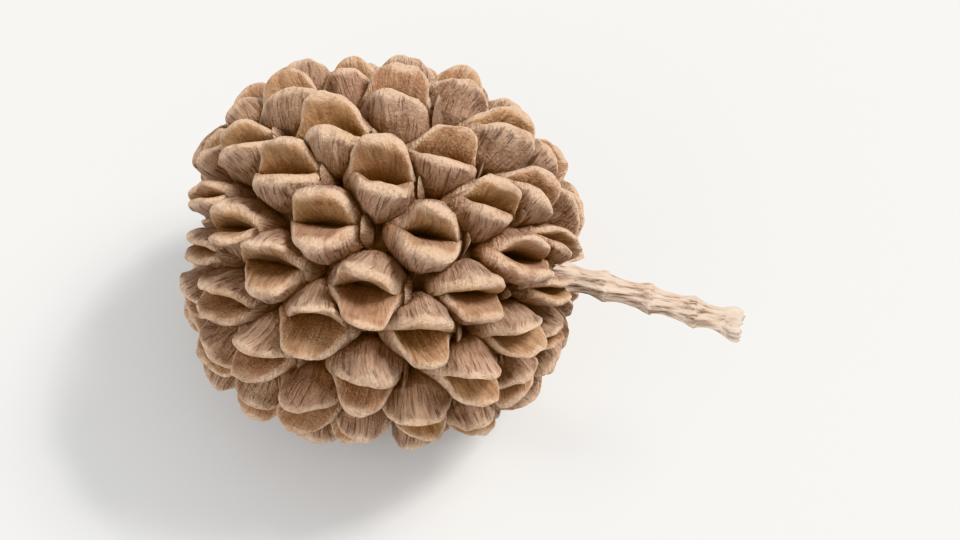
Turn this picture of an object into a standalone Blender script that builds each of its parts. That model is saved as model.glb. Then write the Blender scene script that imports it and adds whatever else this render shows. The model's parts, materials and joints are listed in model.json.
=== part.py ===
"""A dried casuarina cone lying on its side, with the stalk that it grew on.

The cone is one grown, woody piece: a barrel-shaped core covered by whorls of fruits. Each fruit is a pair of
valves that gape sideways round an empty seed pocket, and the fruits of each whorl stand over the gaps of the
whorl before it. The stalk is the other piece.

The cone's axis lies along X with the stalk at +X. A place on the cone is given by three values:
arc     distance along the line of the valve tips, from the stalk's pole towards the far pole
turn    angle round the axis, with half a turn at the underside
height  distance out from the surface of the core
"""

import math
import random

import bmesh
import bpy
import numpy as np
from mathutils import Vector

MM = 0.001

# The core that carries the fruits. Squareness 1 is an ellipse, and less is more of a barrel
CORE_HALF_LENGTH = 5.8 * MM
CORE_RADIUS = 4.85 * MM
STALK_END_SQUARENESS = 0.92
FAR_END_SQUARENESS = 0.80
CORE_SEGMENTS = 16
CORE_RINGS = 10

# The whorls of fruits, which reach out to the cone's width
CONE_WIDTH = 14.1 * MM
WHORLS = 9
FRUITS_IN_WHORL = 10
WHORL_PITCH = 2.2 * MM
FIRST_WHORL_ARC = 3.15 * MM
VALVE_HEIGHT = CONE_WIDTH / 2 - CORE_RADIUS
END_VALVE_SHARE = 0.62

# The outline of one fruit: half its length is a share of the pitch, half its width of half the spacing
FRUIT_SIDES = 8
FRUIT_LENGTH_SHARE = 0.96
FRUIT_WIDTH_SHARE = 0.90
OUTLINE_POWER = 1.9

# Its section, from the sunken root over the belly and the rims of the valves into the pocket
ROOT_DEPTH = 0.8 * MM
ROOT_SHARE = 0.75
BELLY_HEIGHT_SHARE = 0.50
BELLY_NOTCH_SHARE = 0.55
RIM_HEIGHT_SHARE = 0.95
RIM_NOTCH_SHARE = 0.90
RIM_LENGTH = 0.22
RIM_WIDTH = 0.31
MOUTH_SHARE = 0.32
END_MOUTH_SHARE = 0.18
MOUTH_STRETCH = 1.2
POCKET_FLOOR = 0.15 * MM

# The notch at each end of the mouth, where the two valves meet, and how fast the valves rise from it
NOTCH_SHARE = 0.45
LOBE_POWER = 0.30

# The small closed fruits that fill the far pole
TIP_FRUITS = 5
TIP_ARC_FROM_POLE = 1.25 * MM
TIP_LENGTH_SHARE = 0.45
TIP_WIDTH_SHARE = 0.84
TIP_HEIGHT_SHARE = 0.42
TIP_MOUTH_SHARE = 0.20

# How much one fruit differs from the next
SEED = 16
TURN_JITTER = 0.045
ARC_JITTER = 0.16 * MM
HEIGHT_JITTER = 0.10
MOUTH_JITTER = 0.22

# The stalk, from its flared foot at the core over the scars of its leaf joints to its broken end
STALK_GAP = 0.3 * MM
STALK_LENGTH = 6.75 * MM
STALK_RADIUS = 0.44 * MM
STALK_BEND = 0.95 * MM
STALK_BEND_POWER = 1.25
STALK_SAG_SHARE = 0.30
STALK_POINTS = 25
FOOT_SWELLING = 0.20 * MM
FOOT_SPREAD = 0.09
END_SWELLING = 0.24 * MM
END_PLACE = 0.96
END_SPREAD = 0.07
JOINT_SWELLING = 0.12 * MM
JOINT_PLACES = (0.26, 0.50, 0.74)
JOINT_SPREAD = 0.035

# How it rests: the lowest valve tips are worn flat, and the axis is level
FLAT_DEPTH = 0.42 * MM
AXIS_HEIGHT = CONE_WIDTH / 2 - FLAT_DEPTH
CONE_MIDDLE_X = -2.92 * MM


def profile(lean, height):
    """(axial, radial) distance of the surface at a lean from the stalk's pole, 0, to the far pole, pi."""
    squareness = STALK_END_SQUARENESS if lean < math.pi / 2 else FAR_END_SQUARENESS
    forward = math.copysign(abs(math.cos(lean)) ** squareness, math.cos(lean))
    outward = max(math.sin(lean), 0.0) ** squareness
    return (CORE_HALF_LENGTH + height) * forward, (CORE_RADIUS + height) * outward


# The line of the valve tips from pole to pole, and the arc length reached at each lean
LEANS = np.linspace(0.0, math.pi, 721)
TIP_LINE = np.array([profile(lean, VALVE_HEIGHT) for lean in LEANS])
ARCS = np.concatenate([[0.0], np.cumsum(np.hypot(*np.diff(TIP_LINE, axis=0).T))])


def lean_at(arc):
    return float(np.interp(arc, ARCS, LEANS))


def on_cone(arc, turn, height):
    """The point at this arc, turn and height, in the object's frame."""
    axial, radial = profile(lean_at(arc), height)
    sideways = radial * math.sin(turn)
    upward = radial * math.cos(turn)
    return Vector((CONE_MIDDLE_X + axial, sideways, AXIS_HEIGHT + upward))


def material(name, colour, roughness):
    made = bpy.data.materials.new(name)
    made.use_nodes = True
    shader = made.node_tree.nodes["Principled BSDF"]
    shader.inputs["Base Color"].default_value = (*colour, 1.0)
    shader.inputs["Roughness"].default_value = roughness
    shader.inputs["Metallic"].default_value = 0.0
    made.diffuse_color = (*colour, 1.0)
    return made


def add_mesh(name, bm, collection):
    """An object from this closed mesh, turned right side out where the reshaping mirrored it."""
    mesh = bpy.data.meshes.new(name)
    if bm.calc_volume(signed=True) < 0:
        bmesh.ops.reverse_faces(bm, faces=bm.faces)
    bm.to_mesh(mesh)
    bm.free()
    made = bpy.data.objects.new(name, mesh)
    collection.objects.link(made)
    return made


def make_core(name, collection):
    """The barrel-shaped body: a sphere whose points are moved to the cone's profile."""
    bm = bmesh.new()
    bmesh.ops.create_uvsphere(bm, u_segments=CORE_SEGMENTS, v_segments=CORE_RINGS, radius=1.0)
    for vertex in bm.verts:
        lean = math.acos(max(-1.0, min(1.0, vertex.co.z)))
        arc = float(np.interp(lean, LEANS, ARCS))
        turn = math.atan2(vertex.co.y, vertex.co.x)
        vertex.co = on_cone(arc, turn, 0.0)
    return add_mesh(name, bm, collection)


def fruit_rings(height, mouth):
    """Rings of one fruit from its root, over the belly and the rims and into the pocket.

    Each is (share of the half length, share of the half width, height at the notches, height at the tops).
    """
    notch = NOTCH_SHARE * height
    return (
        (ROOT_SHARE, ROOT_SHARE, -ROOT_DEPTH, -ROOT_DEPTH),
        (1.0, 1.0, BELLY_NOTCH_SHARE * notch, BELLY_HEIGHT_SHARE * height),
        (mouth + RIM_LENGTH, mouth + RIM_WIDTH, RIM_NOTCH_SHARE * notch, RIM_HEIGHT_SHARE * height),
        (MOUTH_STRETCH * mouth, mouth, notch, height),
    )


def make_fruit(name, collection, arc, turn, half_length, half_turn, height, mouth):
    """A pair of valves round a seed pocket: a sphere with its upper side pushed in, on the fruit's outline."""
    rings = fruit_rings(height, mouth)
    steps = len(rings) + 1
    bm = bmesh.new()
    bmesh.ops.create_uvsphere(bm, u_segments=FRUIT_SIDES, v_segments=steps, radius=1.0)
    for vertex in bm.verts:
        ring = round((1.0 - math.acos(max(-1.0, min(1.0, vertex.co.z))) / math.pi) * steps)
        if ring == 0:
            vertex.co = on_cone(arc, turn, -ROOT_DEPTH)
            continue
        if ring == steps:
            vertex.co = on_cone(arc, turn, POCKET_FLOOR)
            continue
        length_share, width_share, low, high = rings[ring - 1]
        around = math.atan2(vertex.co.y, vertex.co.x)
        along = math.cos(around)
        across = math.copysign(1.0 - abs(along) ** OUTLINE_POWER, math.sin(around))
        rise = low + (high - low) * abs(across) ** LOBE_POWER
        place = (arc + length_share * along * half_length, turn + width_share * across * half_turn)
        vertex.co = on_cone(*place, rise)
    return add_mesh(name, bm, collection)


def fruit_places():
    """(arc, turn, half length, half turn, height, mouth share) of every fruit, whorl by whorl."""
    draw = random.Random(SEED)
    spacing = 2 * math.pi / FRUITS_IN_WHORL
    for whorl in range(WHORLS):
        arc = FIRST_WHORL_ARC + whorl * WHORL_PITCH
        waist = math.sin(lean_at(arc))
        for fruit in range(FRUITS_IN_WHORL):
            turn = (fruit + 0.5 * (whorl % 2)) * spacing + TURN_JITTER * draw.uniform(-1, 1)
            height = VALVE_HEIGHT * (END_VALVE_SHARE + (1 - END_VALVE_SHARE) * waist)
            height *= 1 + HEIGHT_JITTER * draw.uniform(-1, 1)
            mouth = END_MOUTH_SHARE + (MOUTH_SHARE - END_MOUTH_SHARE) * waist
            mouth *= 1 + MOUTH_JITTER * draw.uniform(-1, 1)
            yield (
                arc + ARC_JITTER * draw.uniform(-1, 1),
                turn,
                FRUIT_LENGTH_SHARE * WHORL_PITCH,
                FRUIT_WIDTH_SHARE * spacing / 2,
                height,
                mouth,
            )


def tip_places():
    """The same values for the small closed fruits round the far pole."""
    spacing = 2 * math.pi / TIP_FRUITS
    for fruit in range(TIP_FRUITS):
        yield (
            ARCS[-1] - TIP_ARC_FROM_POLE,
            fruit * spacing,
            TIP_LENGTH_SHARE * WHORL_PITCH,
            TIP_WIDTH_SHARE * spacing / 2,
            TIP_HEIGHT_SHARE * VALVE_HEIGHT,
            TIP_MOUTH_SHARE,
        )


def new_collection(name):
    made = bpy.data.collections.new(name)
    bpy.context.scene.collection.children.link(made)
    return made


def apply_modifiers(target):
    """Replaces the object's mesh by what its modifiers make of it."""
    graph = bpy.context.evaluated_depsgraph_get()
    finished = bpy.data.meshes.new_from_object(target.evaluated_get(graph))
    target.modifiers.clear()
    target.data = finished


def make_cone(collection):
    """The core with every fruit joined to it, worn flat underneath."""
    cone = make_core("cone", collection)
    repeats = new_collection("fruits")
    for number, place in enumerate([*fruit_places(), *tip_places()]):
        make_fruit(f"fruit {number}", repeats, *place)
    joined = cone.modifiers.new("join the fruits", "BOOLEAN")
    joined.operation = "UNION"
    joined.operand_type = "COLLECTION"
    joined.collection = repeats
    joined.solver = "EXACT"
    apply_modifiers(cone)
    for repeat in list(repeats.objects):
        bpy.data.objects.remove(repeat)
    bpy.data.collections.remove(repeats)
    wear_flat(cone)
    return cone


def wear_flat(cone):
    """Cuts off what lies below the surface that the cone rests on."""
    cutters = new_collection("cutters")
    size = 4 * CONE_WIDTH
    bm = bmesh.new()
    bmesh.ops.create_cube(bm, size=size)
    bmesh.ops.translate(bm, verts=bm.verts, vec=(0.0, 0.0, -size / 2))
    ground = add_mesh("ground cutter", bm, cutters)
    ground.hide_render = True
    ground.display_type = "WIRE"
    worn = cone.modifiers.new("flat spot", "BOOLEAN")
    worn.operation = "DIFFERENCE"
    worn.object = ground
    worn.solver = "EXACT"


def swelling(share, place, spread):
    """1 at this place along the stalk, falling away over the spread."""
    return math.exp(-(((share - place) / spread) ** 2))


def stalk_radius(share):
    """Radius at a share of the stalk's length: a flared foot, swollen leaf joints and a thick broken end."""
    foot = FOOT_SWELLING * swelling(share, 0.0, FOOT_SPREAD)
    end = END_SWELLING * swelling(share, END_PLACE, END_SPREAD)
    joints = sum(JOINT_SWELLING * swelling(share, place, JOINT_SPREAD) for place in JOINT_PLACES)
    return STALK_RADIUS + foot + end + joints


def make_stalk(collection):
    """A thin, slightly bent twig that leaves the core along the axis."""
    curve = bpy.data.curves.new("stalk", "CURVE")
    curve.dimensions = "3D"
    curve.bevel_depth = 1.0
    curve.bevel_resolution = 4
    curve.use_fill_caps = True
    line = curve.splines.new("POLY")
    line.points.add(STALK_POINTS - 1)
    start = on_cone(0.0, 0.0, STALK_GAP)
    for number, point in enumerate(line.points):
        share = number / (STALK_POINTS - 1)
        bend = STALK_BEND * share**STALK_BEND_POWER
        place = start + Vector((STALK_LENGTH * share, -bend, -STALK_SAG_SHARE * bend))
        point.co = (*place, 1.0)
        point.radius = stalk_radius(share)
    made = bpy.data.objects.new("stalk", curve)
    collection.objects.link(made)
    return made


def clear_scene():
    for old in list(bpy.data.objects):
        bpy.data.objects.remove(old)


def main():
    clear_scene()
    collection = new_collection("casuarina cone")
    cone = make_cone(collection)
    cone.data.materials.append(material("cone wood", (0.27, 0.15, 0.075), 0.8))
    stalk = make_stalk(collection)
    stalk.data.materials.append(material("stalk bark", (0.40, 0.29, 0.21), 0.85))


main()
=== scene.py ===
"""A dried casuarina cone lying on a pale floor, dressed for a picture.

Two pieces stand for the two solids of the frame. The cone piece repeats the whorls of fruits on the core.
Each fruit has two curved valves, with a small pointed bract under it, and all of them are fused with the core
into one mesh. The stalk piece is a grooved twig with the scars of its leaf joints and a broken end.

The cone's axis lies along X with the stalk at +X. A place on the cone is given by three values:
arc     distance along the line of the valve tips, from the stalk's pole towards the far pole
turn    angle round the axis, with half a turn at the underside
height  distance out from the surface of the core
"""

import json
import math
import random
from collections import namedtuple

import bmesh
import bpy
import numpy as np
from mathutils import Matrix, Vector, kdtree, noise

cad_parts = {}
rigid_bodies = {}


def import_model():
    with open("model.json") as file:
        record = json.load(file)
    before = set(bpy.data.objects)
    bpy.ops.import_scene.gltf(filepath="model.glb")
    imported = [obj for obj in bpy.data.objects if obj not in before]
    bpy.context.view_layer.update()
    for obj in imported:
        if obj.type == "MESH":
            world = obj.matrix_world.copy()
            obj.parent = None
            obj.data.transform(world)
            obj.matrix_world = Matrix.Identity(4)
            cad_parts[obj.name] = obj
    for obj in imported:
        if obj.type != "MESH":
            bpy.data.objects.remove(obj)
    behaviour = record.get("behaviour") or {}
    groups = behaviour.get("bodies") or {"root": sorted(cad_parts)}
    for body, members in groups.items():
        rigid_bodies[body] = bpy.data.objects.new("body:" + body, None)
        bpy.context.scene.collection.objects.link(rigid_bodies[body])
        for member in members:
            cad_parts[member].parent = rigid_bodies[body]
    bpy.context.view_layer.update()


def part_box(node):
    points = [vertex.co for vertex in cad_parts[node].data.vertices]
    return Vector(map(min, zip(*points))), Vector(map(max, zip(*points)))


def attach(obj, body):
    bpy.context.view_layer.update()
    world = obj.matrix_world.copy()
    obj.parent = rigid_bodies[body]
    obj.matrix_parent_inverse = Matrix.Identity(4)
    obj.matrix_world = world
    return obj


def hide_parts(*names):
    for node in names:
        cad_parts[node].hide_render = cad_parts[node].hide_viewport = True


MM = 0.001

# The core that carries the fruits. Squareness 1 is an ellipse, and less is more of a barrel
CORE_HALF_LENGTH = 5.8 * MM
CORE_RADIUS = 4.85 * MM
STALK_END_SQUARENESS = 0.92
FAR_END_SQUARENESS = 0.80
CORE_SEGMENTS = 64
CORE_RINGS = 40
LEAN_STEPS = 720

# The whorls of fruits, as the frame has them
CONE_WIDTH = 14.1 * MM
TIP_RADIUS = CONE_WIDTH / 2
WHORLS = 9
FRUITS_IN_WHORL = 10
WHORL_PITCH = 2.2 * MM
FIRST_WHORL_ARC = 3.15 * MM
VALVE_HEIGHT = TIP_RADIUS - CORE_RADIUS
END_VALVE_SHARE = 0.62
FRUIT_LENGTH_SHARE = 0.96
FRUIT_WIDTH_SHARE = 0.90
ROOT_DEPTH = 0.8 * MM
MOUTH_SHARE = 0.32
END_MOUTH_SHARE = 0.18
TIP_FRUITS = 5
TIP_ARC_FROM_POLE = 1.25 * MM
TIP_LENGTH_SHARE = 0.45
TIP_WIDTH_SHARE = 0.84
TIP_HEIGHT_SHARE = 0.42
TIP_MOUTH_SHARE = 0.20
SEED = 16
TURN_JITTER = 0.045
ARC_JITTER = 0.16 * MM
HEIGHT_JITTER = 0.10
MOUTH_JITTER = 0.22
FLAT_DEPTH = 0.42 * MM
AXIS_HEIGHT = TIP_RADIUS - FLAT_DEPTH
CONE_MIDDLE_X = -2.92 * MM

# Edges between faces that meet at more than this angle stay sharp
SHARP_ANGLE = math.radians(42)

# The values that the cone's material reads at each point
LOOKS = ("inside", "rim", "level", "across", "tint")
CORE_TINT = 0.5
CORE_INSIDE = 0.5

Fruit = namedtuple("Fruit", "arc turn half_length half_turn height mouth")


def profile(lean, height):
    """(axial, radial) distance of the surface at leans from the stalk's pole, 0, to the far pole, pi."""
    squareness = np.where(lean < math.pi / 2, STALK_END_SQUARENESS, FAR_END_SQUARENESS)
    forward = np.sign(np.cos(lean)) * np.abs(np.cos(lean)) ** squareness
    outward = np.maximum(np.sin(lean), 0.0) ** squareness
    return (CORE_HALF_LENGTH + height) * forward, (CORE_RADIUS + height) * outward


# The line of the valve tips from pole to pole, and the arc length reached at each lean
LEANS = np.linspace(0.0, math.pi, LEAN_STEPS + 1)
TIP_LINE = np.stack(profile(LEANS, VALVE_HEIGHT), axis=1)
ARCS = np.concatenate([[0.0], np.cumsum(np.hypot(*np.diff(TIP_LINE, axis=0).T))])


def on_cone(arc, turn, height):
    """Points at these arcs, turns and heights, one row each, in the object's frame."""
    axial, radial = profile(np.interp(arc, ARCS, LEANS), height)
    return np.stack(
        [CONE_MIDDLE_X + axial, radial * np.sin(turn), AXIS_HEIGHT + radial * np.cos(turn)],
        axis=-1,
    )


def through(places, values, wanted):
    """Values at the wanted places, on a smooth curve through the given ones."""
    slopes = np.gradient(values, places)
    wanted = np.clip(wanted, places[0], places[-1])
    left = np.clip(np.searchsorted(places, wanted, side="right") - 1, 0, len(places) - 2)
    span = places[left + 1] - places[left]
    share = (wanted - places[left]) / span
    start = values[left] * (1 + 2 * share) * (1 - share) ** 2
    end = values[left + 1] * share**2 * (3 - 2 * share)
    bend = span * share * (1 - share) * (slopes[left] * (1 - share) - slopes[left + 1] * share)
    return start + end + bend


def smoothstep(low, high, value):
    """0 at the low value and 1 at the high one, with a soft start and end between them."""
    share = np.clip((value - low) / (high - low), 0.0, 1.0)
    return share * share * (3 - 2 * share)


def rounded_off(level, start, power):
    """1 up to the start, and a rounded fall from there to 0 at the tip."""
    share = np.clip((level - start) / (1 - start), 0.0, 1.0)
    return np.sqrt(1 - share**power)


def fruit_places():
    """Every fruit of the whorls, drawn as in the frame."""
    draw = random.Random(SEED)
    spacing = 2 * math.pi / FRUITS_IN_WHORL
    for whorl in range(WHORLS):
        arc = FIRST_WHORL_ARC + whorl * WHORL_PITCH
        waist = math.sin(float(np.interp(arc, ARCS, LEANS)))
        for fruit in range(FRUITS_IN_WHORL):
            turn = (fruit + 0.5 * (whorl % 2)) * spacing + TURN_JITTER * draw.uniform(-1, 1)
            height = VALVE_HEIGHT * (END_VALVE_SHARE + (1 - END_VALVE_SHARE) * waist)
            height *= 1 + HEIGHT_JITTER * draw.uniform(-1, 1)
            mouth = END_MOUTH_SHARE + (MOUTH_SHARE - END_MOUTH_SHARE) * waist
            mouth *= 1 + MOUTH_JITTER * draw.uniform(-1, 1)
            yield Fruit(
                arc=arc + ARC_JITTER * draw.uniform(-1, 1),
                turn=turn,
                half_length=FRUIT_LENGTH_SHARE * WHORL_PITCH,
                half_turn=FRUIT_WIDTH_SHARE * spacing / 2,
                height=height,
                mouth=mouth,
            )


def tip_places():
    """The small closed fruits round the far pole."""
    spacing = 2 * math.pi / TIP_FRUITS
    for fruit in range(TIP_FRUITS):
        yield Fruit(
            arc=ARCS[-1] - TIP_ARC_FROM_POLE,
            turn=fruit * spacing,
            half_length=TIP_LENGTH_SHARE * WHORL_PITCH,
            half_turn=TIP_WIDTH_SHARE * spacing / 2,
            height=TIP_HEIGHT_SHARE * VALVE_HEIGHT,
            mouth=TIP_MOUTH_SHARE,
        )


class Grid:
    """A sphere's mesh, with the ring and the angle of each of its points, to be bent into other shapes."""

    def __init__(self, name, segments, rings):
        bm = bmesh.new()
        bmesh.ops.create_uvsphere(bm, u_segments=segments, v_segments=rings, radius=1.0)
        self.mesh = bpy.data.meshes.new(name)
        bm.to_mesh(self.mesh)
        bm.free()
        points = np.empty(3 * len(self.mesh.vertices))
        self.mesh.vertices.foreach_get("co", points)
        points = points.reshape(-1, 3)
        lean = np.arccos(np.clip(points[:, 2], -1.0, 1.0))
        self.rise = np.round((1 - lean / math.pi) * rings) / rings
        self.around = np.arctan2(points[:, 1], points[:, 0])

    def bend(self, name, points, collection):
        """Adds an object to the collection: a copy of the grid at these points, right side out."""
        mesh = self.mesh.copy()
        mesh.name = name
        mesh.vertices.foreach_set("co", points.ravel())
        bm = bmesh.new()
        bm.from_mesh(mesh)
        if bm.calc_volume(signed=True) < 0:
            bmesh.ops.reverse_faces(bm, faces=bm.faces)
        bm.to_mesh(mesh)
        bm.free()
        collection.objects.link(bpy.data.objects.new(name, mesh))


def looks_of(inside, rim, level, across, tint):
    """One row of looks for each point, in the order of LOOKS. A plain number counts for every point."""
    return np.stack(np.broadcast_arrays(inside, rim, level, across, tint), axis=1)


# Smooth noise that makes the pieces uneven, stronger by the raggedness along the rims
WARP_SIZE = 1.3 * MM
WARP_DEPTH = 0.15 * MM
WRINKLE_SIZE = 0.42 * MM
WRINKLE_DEPTH = 0.045 * MM
RIM_RAGGEDNESS = 0.9


def warped(points, rim):
    """The points moved a little by smooth noise, most along the rims, so that no two valves are alike."""
    moved = []
    for point, raggedness in zip(points, 1 + RIM_RAGGEDNESS * rim):
        place = Vector(point)
        slow = noise.noise_vector(place / WARP_SIZE) * WARP_DEPTH
        fast = noise.noise_vector(place / WRINKLE_SIZE) * (WRINKLE_DEPTH * raggedness)
        moved.append(place + slow + fast)
    return np.array(moved)


# One valve: a sphere's grid, with levels as shares of the valve's height. The back and the pocket are shares
# of the fruit's half turn, and the width is a share of its half length
VALVE_SEGMENTS = 24
VALVE_RINGS = 20
LEVELS = np.array([-0.40, 0.0, 0.28, 0.50, 0.72, 0.88, 1.0])
BACK_AT_LEVELS = np.array([0.74, 0.90, 0.91, 0.82, 0.70, 0.61, 0.53])
POCKET_AT_LEVELS = np.array([0.00, 0.03, 0.12, 0.20, 0.26, 0.30, 0.35])
WIDTH_AT_LEVELS = np.array([0.80, 0.92, 0.86, 0.66, 0.50, 0.44, 0.40])
CROWN_FROM = 0.70
CROWN_POWER = 1.9
RIM_ROUNDING_FROM = 0.86
RIM_ROUNDING_POWER = 2.0
PLAN_POWER = 2.0
EDGE_ROUNDING = 0.7
PARTING_LEVEL = 0.30

# How the valves differ from each other
LEAN_ALONG = 0.22 * MM
FLARE = 0.10
FLARED_FROM = 0.5
LOBE_WIDTH_JITTER = 0.12
LOBE_WIDTH_FROM = 0.3
LOBE_HEIGHT_JITTER = 0.07
TWIST = 0.16
SKEW = 0.22

# The furrows that run up a valve's back, counted as if they went all round it
FURROWS = 8
FURROW_DEPTH = 0.065 * MM
FURROW_LEVELS = (0.05, 0.25, 0.78, 0.97)
FURROW_FACING = (0.15, 0.45)
FURROW_START = 60
EVEN_SHARE = 0.6
UNEVEN_SHARE = 0.4
UNEVEN_TURNS = 5
UNEVEN_RISE = 4
UNEVEN_START = 40

# Where a valve counts as inside the mouth and as worn rim, by its facing and its level
INSIDE_FACING = (0.15, -0.15)
EDGE_FACING = (0.55, 0.15)
EDGE_LEVELS = (0.30, 0.60)
RIM_LEVELS = (0.87, 0.97)


def furrows(grid, level, facing, tint):
    """How far the valve's back is sunk or raised, in ridges of uneven depth that fade out at root and rim."""
    bottom, low, high, top = FURROW_LEVELS
    fade = smoothstep(bottom, low, level) * smoothstep(top, high, level) * smoothstep(*FURROW_FACING, facing)
    wave = np.sin(UNEVEN_TURNS * grid.around + UNEVEN_RISE * level + UNEVEN_START * tint)
    uneven = EVEN_SHARE + UNEVEN_SHARE * wave
    return FURROW_DEPTH * fade * uneven * np.cos(FURROWS * grid.around + FURROW_START * tint)


def valve_section(across, facing, level, mouth, flare):
    """How far the valve's two sides stand from the middle of the mouth, as shares of the half turn."""
    back = through(LEVELS, BACK_AT_LEVELS, level) * np.where(level > FLARED_FROM, flare, 1.0)
    pocket = through(LEVELS, POCKET_AT_LEVELS, level) * mouth / MOUTH_SHARE
    half_thickness = 0.5 * (back - pocket) * rounded_off(level, RIM_ROUNDING_FROM, RIM_ROUNDING_POWER)
    half_thickness *= np.abs(facing) ** EDGE_ROUNDING
    middle = 0.5 * (back + pocket)
    bow = 1 - np.abs(across) ** PLAN_POWER
    parting = smoothstep(PARTING_LEVEL, 1.0, level)
    return middle * (bow + (1 - bow) * parting) + np.sign(facing) * half_thickness


def worn_rim(facing, level):
    """How much each point belongs to the worn rim: the valve's top and the two edges that lead up to it."""
    edge = smoothstep(*EDGE_FACING, np.abs(facing)) * smoothstep(*EDGE_LEVELS, level)
    return np.maximum(edge, smoothstep(*RIM_LEVELS, level))


def make_valve(grid, name, fruit, side, twist, draw, collection):
    """One curved woody flap: its back bulges outward, and its rim is a rounded lobe."""
    tip_lean = LEAN_ALONG * draw.uniform(-1, 1)
    skew = SKEW * draw.uniform(-1, 1)
    flare = 1 + FLARE * draw.uniform(-1, 1)
    breadth = 1 + LOBE_WIDTH_JITTER * draw.uniform(-1, 1)
    height = fruit.height * (1 - LOBE_HEIGHT_JITTER * draw.random())
    tint = draw.random()
    root = -ROOT_DEPTH / height
    level = root + (1 - root) * np.sin(grid.rise * math.pi / 2)
    rise = np.clip(level, 0, 1)
    across, facing = np.cos(grid.around), np.sin(grid.around)
    width = through(LEVELS, WIDTH_AT_LEVELS, level) * rounded_off(level, CROWN_FROM, CROWN_POWER)
    width *= np.where(level > LOBE_WIDTH_FROM, breadth, 1.0)
    along = (across * width + skew * rise**2 * (1 - width)) * fruit.half_length
    along += tip_lean * rise**2
    sideways = valve_section(across, facing, level, fruit.mouth, flare) * fruit.half_turn
    sideways = side * (sideways + furrows(grid, level, facing, tint) / TIP_RADIUS)
    rim = worn_rim(facing, level)
    points = warped(on_cone(
        fruit.arc + along - twist * rise * sideways * TIP_RADIUS,
        fruit.turn + sideways + twist * rise * along / TIP_RADIUS,
        level * height,
    ), rim)
    grid.bend(name, points, collection)
    return points, looks_of(smoothstep(*INSIDE_FACING, facing), rim, level, across * width, tint)


# The bract under each fruit, at the corner where four fruits meet. Bracts that would stand nearer to the
# stalk's pole than the first arc are left out
BRACT_SEGMENTS = 14
BRACT_RINGS = 12
BRACT_ARC = -2.05 * MM
BRACT_FIRST_ARC = 0.35 * FIRST_WHORL_ARC
BRACT_HALF_WIDTH = 0.86 * MM
BRACT_HALF_THICKNESS = 0.19 * MM
BRACT_KEEL = 0.45
BRACT_KEEL_FROM = 0.6
BRACT_HEIGHT_SHARE = 0.66
BRACT_HEIGHT_JITTER = 0.18
BRACT_LEAN = 0.50 * MM
BRACT_LEAN_POWER = 1.5
BRACT_SIDE_JITTER = 0.10 * MM
BRACT_FOOT_WIDENING = 3
BRACT_POINT_POWER = 0.58
BRACT_CUP = 0.22 * MM
BRACT_WORN_SHARE = 0.7
BRACT_WORN_FROM = 0.82


def make_bract(grid, name, fruit, draw, collection):
    """A small keeled scale with a pointed tip, cupped round the lower end of its fruit's mouth."""
    top = BRACT_HEIGHT_SHARE * fruit.height * (1 + BRACT_HEIGHT_JITTER * draw.uniform(-1, 1))
    side_step = BRACT_SIDE_JITTER * draw.uniform(-1, 1)
    tint = draw.random()
    height = -ROOT_DEPTH + (top + ROOT_DEPTH) * grid.rise
    facing, across = np.cos(grid.around), np.sin(grid.around)
    foot = np.sqrt(np.clip(BRACT_FOOT_WIDENING * grid.rise, 0.0, 1.0))
    narrowing = (1 - grid.rise) ** BRACT_POINT_POWER * foot
    keel = 1 + BRACT_KEEL * smoothstep(BRACT_KEEL_FROM, 1.0, -facing)
    along = BRACT_ARC + BRACT_LEAN * grid.rise**BRACT_LEAN_POWER
    along += BRACT_HALF_THICKNESS * narrowing * facing * keel
    along += BRACT_CUP * across**2 * narrowing
    sideways = BRACT_HALF_WIDTH * narrowing * across + side_step * grid.rise
    tip = BRACT_WORN_SHARE * smoothstep(BRACT_WORN_FROM, 1.0, grid.rise)
    points = warped(on_cone(fruit.arc + along, fruit.turn + sideways / CORE_RADIUS, height), tip)
    grid.bend(name, points, collection)
    return points, looks_of(0.0, tip, grid.rise * BRACT_HEIGHT_SHARE, across * narrowing, tint)


def make_core(name, collection):
    """The barrel that the fruits stand on."""
    grid = Grid("core grid", CORE_SEGMENTS, CORE_RINGS)
    arc = np.interp((1 - grid.rise) * math.pi, LEANS, ARCS)
    none = np.zeros(len(arc))
    points = on_cone(arc, grid.around, none)
    grid.bend(name, points, collection)
    return points, looks_of(CORE_INSIDE, none, 0.0, 0.0, CORE_TINT)


def new_collection(name):
    made = bpy.data.collections.new(name)
    bpy.context.scene.collection.children.link(made)
    return made


def fuse(target, collection):
    """Joins everything in the collection to the target and removes the collection."""
    joined = target.modifiers.new("fuse", "BOOLEAN")
    joined.operation = "UNION"
    joined.operand_type = "COLLECTION"
    joined.collection = collection
    joined.solver = "MANIFOLD"
    graph = bpy.context.evaluated_depsgraph_get()
    finished = bpy.data.meshes.new_from_object(target.evaluated_get(graph))
    target.modifiers.clear()
    target.data = finished
    for piece in list(collection.objects):
        bpy.data.objects.remove(piece)
    bpy.data.collections.remove(collection)


def carry_looks(mesh, sources):
    """Gives each point of the fused mesh the values of the nearest point that it was fused from."""
    places = np.concatenate([points for points, looks in sources])
    values = np.concatenate([looks for points, looks in sources])
    tree = kdtree.KDTree(len(places))
    for index, place in enumerate(places):
        tree.insert(place, index)
    tree.balance()
    nearest = [tree.find(vertex.co)[1] for vertex in mesh.vertices]
    for column, name in enumerate(LOOKS):
        layer = mesh.attributes.new(name, "FLOAT", "POINT")
        layer.data.foreach_set("value", values[nearest, column].astype(np.float32))


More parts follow.
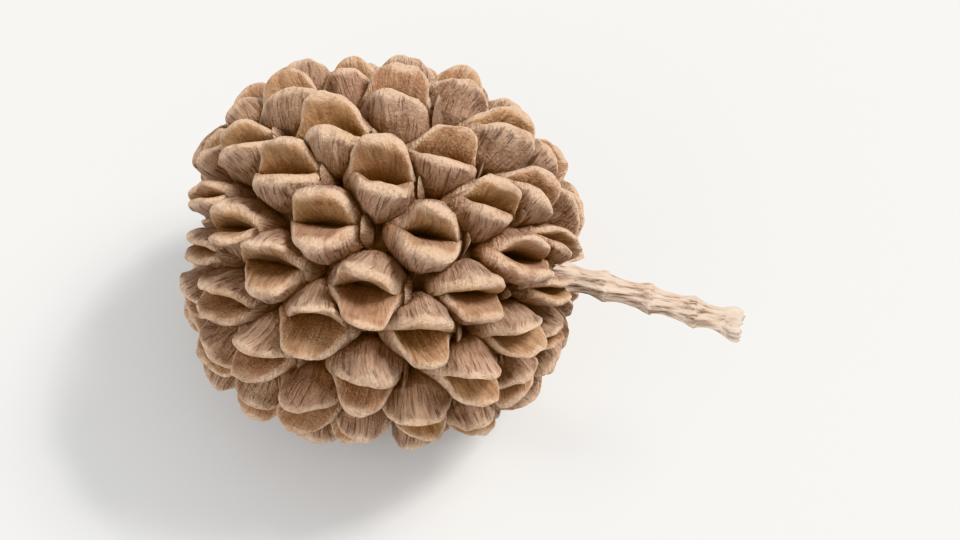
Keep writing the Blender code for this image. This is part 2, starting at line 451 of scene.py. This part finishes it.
def fit_inside(mesh, box):
    """Flattens the tips below the floor, and draws in the sides that reach out of the node's box."""
    points = np.empty(3 * len(mesh.vertices))
    mesh.vertices.foreach_get("co", points)
    points = points.reshape(-1, 3)
    low, high = np.array(box[0]), np.array(box[1])
    points[:, 2] = np.maximum(points[:, 2], low[2])
    middle = (low + high) / 2
    reach = (high - low) / 2
    farthest_down = np.minimum(points.min(axis=0), low) - middle
    farthest_up = np.maximum(points.max(axis=0), high) - middle
    away = points - middle
    away *= np.where(away < 0, -reach / farthest_down, reach / farthest_up)
    mesh.vertices.foreach_set("co", (middle + away).ravel())


def make_cone():
    """The whole woody cone in one mesh."""
    draw = random.Random(SEED + 1)
    holder = new_collection("cone core")
    pieces = new_collection("fruits and bracts")
    sources = [make_core("cone_wood", holder)]
    valve_grid = Grid("valve grid", VALVE_SEGMENTS, VALVE_RINGS)
    bract_grid = Grid("bract grid", BRACT_SEGMENTS, BRACT_RINGS)
    for number, fruit in enumerate([*fruit_places(), *tip_places()]):
        twist = TWIST * draw.uniform(-1, 1)
        for side in (-1, 1):
            name = f"valve {number} {side}"
            sources.append(make_valve(valve_grid, name, fruit, side, twist, draw, pieces))
    for number, fruit in enumerate(fruit_places()):
        if fruit.arc + BRACT_ARC > BRACT_FIRST_ARC:
            sources.append(make_bract(bract_grid, f"bract {number}", fruit, draw, pieces))
    cone = bpy.data.objects["cone_wood"]
    fuse(cone, pieces)
    carry_looks(cone.data, sources)
    fit_inside(cone.data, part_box("cone"))
    cone.data.shade_smooth()
    cone.data.set_sharp_from_angle(angle=SHARP_ANGLE)
    return cone


# The stalk, from its flared foot over the scars of its leaf joints to its broken end. Places and spreads are
# shares of its length from the core
STALK_LENGTH = 6.75 * MM
STALK_GAP = 0.3 * MM
STALK_SUNK = 1.3 * MM
STALK_RADIUS = 0.41 * MM
STALK_BEND = 0.95 * MM
STALK_SAG_SHARE = 0.30
STALK_BEND_POWER = 1.25
STALK_SIDES = 72
STALK_RINGS = 230
FOOT_SWELLING = 0.22 * MM
FOOT_SPREAD = 0.09
END_SWELLING = 0.22 * MM
END_PLACE = 0.96
END_SPREAD = 0.06
JOINT_PLACES = (0.26, 0.50, 0.74)
JOINT_SWELLING = 0.10 * MM
JOINT_SPREAD = 0.05
SHEATH_TEETH = 7
SHEATH_TOOTH_LENGTH = 0.016
SHEATH_TURN = 2.0
SHEATH_STEP = 0.055 * MM
SHEATH_SPREAD = 0.05
RIBS = 8
RIB_HEIGHT = 0.022 * MM

# The bark's roughness: the places of the noise along and round the twig, then (scale, depth) of each noise
BARK_ALONG = 3.0
BARK_ROUND = 2.2
BARK_NOISES = ((2.0, 0.030 * MM), (6.0, 0.018 * MM))

# The broken end: rings as (share of the radius, share of the hollow's depth), and where its colour pales
END_DRAWN_IN = 0.15 * MM
END_HOLLOW = 0.22 * MM
END_SPLINTERS = 0.16 * MM
END_RINGS = ((0.86, -0.4), (0.62, 0.1), (0.34, 0.8))
SPLINTER_SCALE = 4.0
PALE_END_FROM = 8.9 * MM
PALE_END_TO = 9.8 * MM


def hump(share, place, spread):
    """1 at the place, falling off evenly on both sides."""
    return math.exp(-(((share - place) / spread) ** 2))


def stalk_middle(share):
    """The middle of the twig at a share of its length from the core's surface, as the frame has it."""
    start = Vector(on_cone(0.0, 0.0, STALK_GAP))
    bend = STALK_BEND * max(share, 0.0) ** STALK_BEND_POWER
    return start + Vector((STALK_LENGTH * share, -bend, -STALK_SAG_SHARE * bend))


def stalk_radius(share, angle):
    """Radius of the twig there: ribs between grooves, and a toothed sheath that ends at each joint."""
    radius = STALK_RADIUS + RIB_HEIGHT * math.cos(RIBS * angle)
    radius += FOOT_SWELLING * hump(share, 0.0, FOOT_SPREAD)
    radius += END_SWELLING * hump(share, END_PLACE, END_SPREAD)
    for number, place in enumerate(JOINT_PLACES):
        tooth = 0.5 + 0.5 * math.cos(SHEATH_TEETH * angle + SHEATH_TURN * number)
        rim = place + SHEATH_TOOTH_LENGTH * tooth
        radius += JOINT_SWELLING * hump(share, place, JOINT_SPREAD)
        if share < rim:
            radius += SHEATH_STEP * math.exp((share - rim) / SHEATH_SPREAD)
    return radius


def stalk_point(share, angle, reach):
    """A point at this share of the twig's radius, roughened by the grain of its bark."""
    out = Vector((0.0, math.sin(angle), math.cos(angle)))
    grain = Vector((share * BARK_ALONG, out.y * BARK_ROUND, out.z * BARK_ROUND))
    rough = sum(depth * noise.noise(grain * scale) for scale, depth in BARK_NOISES)
    return stalk_middle(share) + out * (reach * stalk_radius(share, angle) + rough)


def splinter(angle, reach, sink):
    """How far a point of the broken end stands out along the twig, or is sunk into its hollow."""
    uneven = noise.noise(Vector((math.sin(angle), math.cos(angle), reach)) * SPLINTER_SCALE)
    return Vector((END_SPLINTERS * uneven - sink * END_HOLLOW, 0.0, 0.0))


def stalk_circles():
    """Rings of points from the start inside the core to the middle of the broken end."""
    angles = [2 * math.pi * side / STALK_SIDES for side in range(STALK_SIDES)]
    first = -STALK_SUNK / STALK_LENGTH
    last = 1.0 - END_DRAWN_IN / STALK_LENGTH
    for ring in range(STALK_RINGS + 1):
        share = first + (last - first) * ring / STALK_RINGS
        yield [stalk_point(share, angle, 1.0) for angle in angles]
    for reach, sink in END_RINGS:
        yield [stalk_point(last, angle, reach) + splinter(angle, reach, sink) for angle in angles]


def make_stalk():
    """The twig as a tube whose rings follow its middle, closed inside the core and at the broken end."""
    bm = bmesh.new()
    rings = [[bm.verts.new(point) for point in circle] for circle in stalk_circles()]
    for near, far in zip(rings, rings[1:]):
        for side in range(STALK_SIDES):
            after = (side + 1) % STALK_SIDES
            bm.faces.new((near[side], far[side], far[after], near[after]))
    bm.faces.new(rings[0])
    bm.faces.new(rings[-1][::-1])
    bmesh.ops.recalc_face_normals(bm, faces=bm.faces)
    mesh = bpy.data.meshes.new("stalk_twig")
    bm.to_mesh(mesh)
    bm.free()
    mesh.shade_smooth()
    made = bpy.data.objects.new("stalk_twig", mesh)
    bpy.context.scene.collection.objects.link(made)
    return made


# Parts of the materials. A colour is red, green and blue. A noise is its scale, detail and roughness. A range
# is a value's low and high, and the shares that those stand for
SPECULAR_LEVEL = 0.28

# Where a colour mix has its inputs and its result
MIX_SHARE, MIX_FIRST, MIX_SECOND = 0, 6, 7
MIX_RESULT = 2


def feed(tree, socket, given):
    """Links the socket to another one, or sets a plain number or colour on it."""
    if isinstance(given, bpy.types.NodeSocket):
        tree.links.new(given, socket)
    elif isinstance(given, tuple):
        socket.default_value = (*given, 1.0)
    else:
        socket.default_value = given


def shades(tree, value, places_and_colours):
    """The value as a colour, on a ramp through these (place, colour) stops."""
    ramp = tree.nodes.new("ShaderNodeValToRGB")
    stops = ramp.color_ramp.elements
    while len(stops) < len(places_and_colours):
        stops.new(0.5)
    for stop, (place, colour) in zip(stops, places_and_colours):
        stop.position = place
        stop.color = (*colour, 1.0)
    tree.links.new(value, ramp.inputs["Fac"])
    return ramp.outputs["Color"]


def look(tree, name):
    """One of the values that the mesh carries for its material."""
    found = tree.nodes.new("ShaderNodeAttribute")
    found.attribute_name = name
    return found.outputs["Fac"]


def mix(tree, kind, share, first, second):
    """A colour mix. Each input is a socket or a plain value."""
    made = tree.nodes.new("ShaderNodeMix")
    made.data_type = "RGBA"
    made.blend_type = kind
    for place, given in ((MIX_SHARE, share), (MIX_FIRST, first), (MIX_SECOND, second)):
        feed(tree, made.inputs[place], given)
    return made.outputs[MIX_RESULT]


def maths(tree, kind, *given):
    """A sum, product or the like of the inputs. Each is a socket or a plain number."""
    made = tree.nodes.new("ShaderNodeMath")
    made.operation = kind
    for place, value in enumerate(given):
        feed(tree, made.inputs[place], value)
    return made.outputs[0]


def remap(tree, value, low, high, new_low, new_high):
    """The value moved from one range to another, with a soft start and end."""
    made = tree.nodes.new("ShaderNodeMapRange")
    made.interpolation_type = "SMOOTHSTEP"
    tree.links.new(value, made.inputs["Value"])
    for name, given in (("From Min", low), ("From Max", high), ("To Min", new_low), ("To Max", new_high)):
        made.inputs[name].default_value = given
    return made.outputs["Result"]


def noise_at(tree, vector, scale, detail, roughness):
    made = tree.nodes.new("ShaderNodeTexNoise")
    made.inputs["Scale"].default_value = scale
    made.inputs["Detail"].default_value = detail
    made.inputs["Roughness"].default_value = roughness
    tree.links.new(vector, made.inputs["Vector"])
    return made.outputs["Fac"]


def new_material(name, roughness):
    made = bpy.data.materials.new(name)
    made.use_nodes = True
    shader = made.node_tree.nodes["Principled BSDF"]
    shader.inputs["Roughness"].default_value = roughness
    shader.inputs["Specular IOR Level"].default_value = SPECULAR_LEVEL
    return made, made.node_tree, shader


def bump(tree, shader, height, distance, strength):
    made = tree.nodes.new("ShaderNodeBump")
    made.inputs["Distance"].default_value = distance
    made.inputs["Strength"].default_value = strength
    tree.links.new(height, made.inputs["Height"])
    tree.links.new(made.outputs["Normal"], shader.inputs["Normal"])


# The cone's wood. Each valve's grain is one slice of the noise, a little off a whole number, where the noise
# shows its lattice. Grain scales are across the valve and up it
WOOD_ROUGHNESS = 0.78
WOOD_SHEEN = 0.10
WOOD_BUMP_DISTANCE = 0.22 * MM
WOOD_BUMP_STRENGTH = 1.0
GRAIN_SLICES = 37.0
SLICE_OFFSET = 0.37
FIBRE_SCALES = (14.0, 1.8)
FIBRE_NOISE = (1.0, 5.0, 0.66)
LINE_SCALES = (34.0, 3.0)
LINE_NOISE = (1.0, 2.0, 0.55)
PATCH_NOISE = (420.0, 3.0, 0.55)
STAIN_NOISE = (1500.0, 3.0, 0.55)
SPECKLE_NOISE = (9000.0, 3.0, 0.55)

BACK_SHADES = ((0.28, (0.235, 0.130, 0.079)), (0.50, (0.395, 0.250, 0.166)), (0.75, (0.545, 0.385, 0.278)))
WALL_SHADES = ((0.28, (0.258, 0.130, 0.068)), (0.50, (0.405, 0.234, 0.130)), (0.75, (0.555, 0.372, 0.226)))
WEATHERED_WOOD = (0.460, 0.315, 0.230)
OCHRE_WALL = (0.470, 0.272, 0.130)
REDDISH_WOOD = (0.375, 0.198, 0.128)
STAIN = (0.52, 0.38, 0.30)
CRACK = (0.36, 0.26, 0.20)
# Painted shade for the gaps between the fruits, mixed in towards the valves' roots and the core
PAINTED_SHADE_COLOUR = (0.272, 0.135, 0.073)
RIM_DARK = (0.500, 0.335, 0.222)
RIM_PALE = (0.720, 0.520, 0.372)

WEATHERED_BY_PATCH = (0.45, 0.70, 0.0, 0.55)
OCHRE_BY_TINT = (0.32, 0.18, 0.0, 0.45)
REDDISH_BY_TINT = (0.35, 1.0, 0.0, 0.40)
STAINED_BY_NOISE = (0.52, 0.72, 0.0, 0.55)
CRACKED_BY_LINE = (0.43, 0.33, 0.0, 1.0)
CRACKED_BY_INSIDE = (0.2, 0.8, 1.0, 0.25)
# Painted shade: how much of the shade colour goes on at each level, most at the roots and none near the tips
PAINTED_SHADE_BY_LEVEL = (-0.05, 0.92, 0.78, 0.0)
PALE_BY_SPECKLE = (0.30, 0.68, 0.0, 1.0)
WORN_BY_STAIN = (0.70, 0.40, 0.42, 0.92)
CRACK_DARKNESS = 0.6
CRACK_BUMP = 0.45
SPECKLE_BUMP = 0.45


def grain_vector(tree, across_scale, level_scale):
    """A place in the valve's own directions, so that the fibres run from its root to its rim."""
    slice_number = maths(tree, "FLOOR", maths(tree, "MULTIPLY", look(tree, "tint"), GRAIN_SLICES))
    parts = (
        maths(tree, "MULTIPLY", look(tree, "across"), across_scale),
        maths(tree, "MULTIPLY", look(tree, "level"), level_scale),
        maths(tree, "ADD", slice_number, SLICE_OFFSET),
    )
    joined = tree.nodes.new("ShaderNodeCombineXYZ")
    for place, part in enumerate(parts):
        tree.links.new(part, joined.inputs[place])
    return joined.outputs[0]


def wood_sides(tree, fibres, place):
    """Weathered backs and ochre pocket walls, both more or less reddish from valve to valve."""
    tint = look(tree, "tint")
    weathering = remap(tree, noise_at(tree, place, *PATCH_NOISE), *WEATHERED_BY_PATCH)
    weathered = mix(tree, "MIX", weathering, shades(tree, fibres, BACK_SHADES), WEATHERED_WOOD)
    ochre = mix(tree, "MIX", remap(tree, tint, *OCHRE_BY_TINT), shades(tree, fibres, WALL_SHADES), OCHRE_WALL)
    sides = mix(tree, "MIX", look(tree, "inside"), weathered, ochre)
    return mix(tree, "MIX", remap(tree, tint, *REDDISH_BY_TINT), sides, REDDISH_WOOD)


def wood_cracks(tree, rim):
    """Thin dark lines along the grain of the backs, weak on the pocket walls and gone from the rims."""
    lines = noise_at(tree, grain_vector(tree, *LINE_SCALES), *LINE_NOISE)
    weaker_inside = remap(tree, look(tree, "inside"), *CRACKED_BY_INSIDE)
    bare = maths(tree, "MULTIPLY", maths(tree, "SUBTRACT", 1.0, rim), weaker_inside)
    return maths(tree, "MULTIPLY", remap(tree, lines, *CRACKED_BY_LINE), bare)


def cone_wood_material():
    """Dry brown wood: fissured backs, pale rims, ochre pocket walls, and painted shade in the depths."""
    made, tree, shader = new_material("cone wood", WOOD_ROUGHNESS)
    shader.inputs["Sheen Weight"].default_value = WOOD_SHEEN
    place = tree.nodes.new("ShaderNodeTexCoord").outputs["Object"]
    fibres = noise_at(tree, grain_vector(tree, *FIBRE_SCALES), *FIBRE_NOISE)
    stains = noise_at(tree, place, *STAIN_NOISE)
    speckle = noise_at(tree, place, *SPECKLE_NOISE)
    rim = look(tree, "rim")
    cracks = wood_cracks(tree, rim)
    sides = wood_sides(tree, fibres, place)
    stained = mix(tree, "MULTIPLY", remap(tree, stains, *STAINED_BY_NOISE), sides, STAIN)
    fissured = mix(tree, "MULTIPLY", maths(tree, "MULTIPLY", cracks, CRACK_DARKNESS), stained, CRACK)
    # Painted shade: darker towards the roots of the valves and the core, where the gaps between the fruits
    # lie in shade
    with_painted_shade = mix(tree, "MIX", remap(tree, look(tree, "level"), *PAINTED_SHADE_BY_LEVEL), fissured, PAINTED_SHADE_COLOUR)
    pale = mix(tree, "MIX", remap(tree, speckle, *PALE_BY_SPECKLE), RIM_DARK, RIM_PALE)
    worn = maths(tree, "MULTIPLY", rim, remap(tree, stains, *WORN_BY_STAIN))
    tree.links.new(mix(tree, "MIX", worn, with_painted_shade, pale), shader.inputs["Base Color"])
    grain = maths(tree, "MULTIPLY_ADD", speckle, SPECKLE_BUMP, fibres)
    relief = maths(tree, "SUBTRACT", grain, maths(tree, "MULTIPLY", cracks, CRACK_BUMP))
    bump(tree, shader, relief, WOOD_BUMP_DISTANCE, WOOD_BUMP_STRENGTH)
    return made


# The stalk's bark
BARK_ROUGHNESS = 0.82
BARK_BUMP_DISTANCE = 0.09 * MM
BARK_BUMP_STRENGTH = 0.9
BARK_STRETCH = 0.13
STREAK_NOISE = (6200.0, 4.0, 0.62)
BARK_PATCH_NOISE = (900.0, 3.0, 0.55)
BARK_SHADES = ((0.33, (0.150, 0.095, 0.064)), (0.48, (0.490, 0.372, 0.285)), (0.68, (0.800, 0.690, 0.575)))
WEATHERED_BARK = (0.345, 0.250, 0.185)
BROKEN_WOOD = (0.860, 0.765, 0.650)
BARK_WEATHERED_BY_PATCH = (0.48, 0.72, 0.0, 0.55)
BROKEN_BY_PLACE = (PALE_END_FROM, PALE_END_TO, 0.0, 0.30)


def stalk_bark_material():
    """Pale grey-tan bark with darker streaks and patches, paler at the broken end."""
    made, tree, shader = new_material("stalk bark", BARK_ROUGHNESS)
    place = tree.nodes.new("ShaderNodeTexCoord").outputs["Object"]
    stretched = tree.nodes.new("ShaderNodeMapping")
    stretched.inputs["Scale"].default_value = (BARK_STRETCH, 1.0, 1.0)
    tree.links.new(place, stretched.inputs["Vector"])
    streaks = noise_at(tree, stretched.outputs["Vector"], *STREAK_NOISE)
    weathering = remap(tree, noise_at(tree, place, *BARK_PATCH_NOISE), *BARK_WEATHERED_BY_PATCH)
    weathered = mix(tree, "MIX", weathering, shades(tree, streaks, BARK_SHADES), WEATHERED_BARK)
    along = tree.nodes.new("ShaderNodeSeparateXYZ")
    tree.links.new(place, along.inputs["Vector"])
    broken = remap(tree, along.outputs["X"], *BROKEN_BY_PLACE)
    tree.links.new(mix(tree, "MIX", broken, weathered, BROKEN_WOOD), shader.inputs["Base Color"])
    bump(tree, shader, streaks, BARK_BUMP_DISTANCE, BARK_BUMP_STRENGTH)
    return made


def dress(piece, material, node):
    """Gives the piece its material and its place in the frame."""
    piece.data.materials.clear()
    piece.data.materials.append(material)
    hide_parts(node)
    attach(piece, "root")


# The stage: floor, lights, sky and camera, in metres
FLOOR_SIZE = 1.6
FLOOR_ROUGHNESS = 0.9
FLOOR_COLOUR = (0.70, 0.70, 0.69)
KEY_LAMP = {"place": (0.16, 0.12, 0.26), "size": 0.12, "power": 1.5, "colour": (1.0, 0.97, 0.93)}
FILL_LAMP = {"place": (-0.20, -0.20, 0.22), "size": 0.25, "power": 0.6, "colour": (1.0, 0.97, 0.94)}
SKY_COLOUR = (0.95, 0.97, 1.0)
SKY_STRENGTH = 0.82
LOOK_AT = Vector((0.0005, 0.0, 0.0062))
CAMERA_AZIMUTH = math.radians(8)
CAMERA_ELEVATION = math.radians(66)
CAMERA_DISTANCE = 0.30
CAMERA_LENS = 320.0
CAMERA_CLIP_START = 0.005


def floor_material():
    made, tree, shader = new_material("floor", FLOOR_ROUGHNESS)
    shader.inputs["Base Color"].default_value = (*FLOOR_COLOUR, 1.0)
    return made


def add_floor():
    bpy.ops.mesh.primitive_plane_add(size=FLOOR_SIZE, location=(0.0, 0.0, 0.0))
    floor = bpy.context.object
    floor.name = "floor"
    floor.data.materials.append(floor_material())


def add_lamp(name, place, size, power, colour):
    """A square lamp that points at the cone."""
    lamp = bpy.data.lights.new(name, "AREA")
    lamp.size = size
    lamp.energy = power
    lamp.color = colour
    made = bpy.data.objects.new(name, lamp)
    made.location = place
    made.rotation_euler = (LOOK_AT - Vector(place)).to_track_quat("-Z", "Y").to_euler()
    bpy.context.scene.collection.objects.link(made)


def add_camera():
    camera = bpy.data.cameras.new("camera")
    camera.lens = CAMERA_LENS
    camera.clip_start = CAMERA_CLIP_START
    away = Vector((
        math.sin(CAMERA_AZIMUTH) * math.cos(CAMERA_ELEVATION),
        -math.cos(CAMERA_AZIMUTH) * math.cos(CAMERA_ELEVATION),
        math.sin(CAMERA_ELEVATION),
    ))
    made = bpy.data.objects.new("camera", camera)
    made.location = LOOK_AT + away * CAMERA_DISTANCE
    made.rotation_euler = (-away).to_track_quat("-Z", "Y").to_euler()
    bpy.context.scene.collection.objects.link(made)
    bpy.context.scene.camera = made


def add_world():
    world = bpy.data.worlds.new("studio")
    world.use_nodes = True
    background = world.node_tree.nodes["Background"]
    background.inputs["Color"].default_value = (*SKY_COLOUR, 1.0)
    background.inputs["Strength"].default_value = SKY_STRENGTH
    bpy.context.scene.world = world


def set_view():
    """Colours as they are lit, with only the highlights held back."""
    bpy.context.scene.view_settings.view_transform = "Khronos PBR Neutral"


# Without a seed the noise differs from run to run, and the shapes with it
noise.seed_set(SEED)
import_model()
dress(make_cone(), cone_wood_material(), "cone")
dress(make_stalk(), stalk_bark_material(), "stalk")
add_floor()
add_lamp("key", **KEY_LAMP)
add_lamp("fill", **FILL_LAMP)
add_camera()
add_world()
set_view()
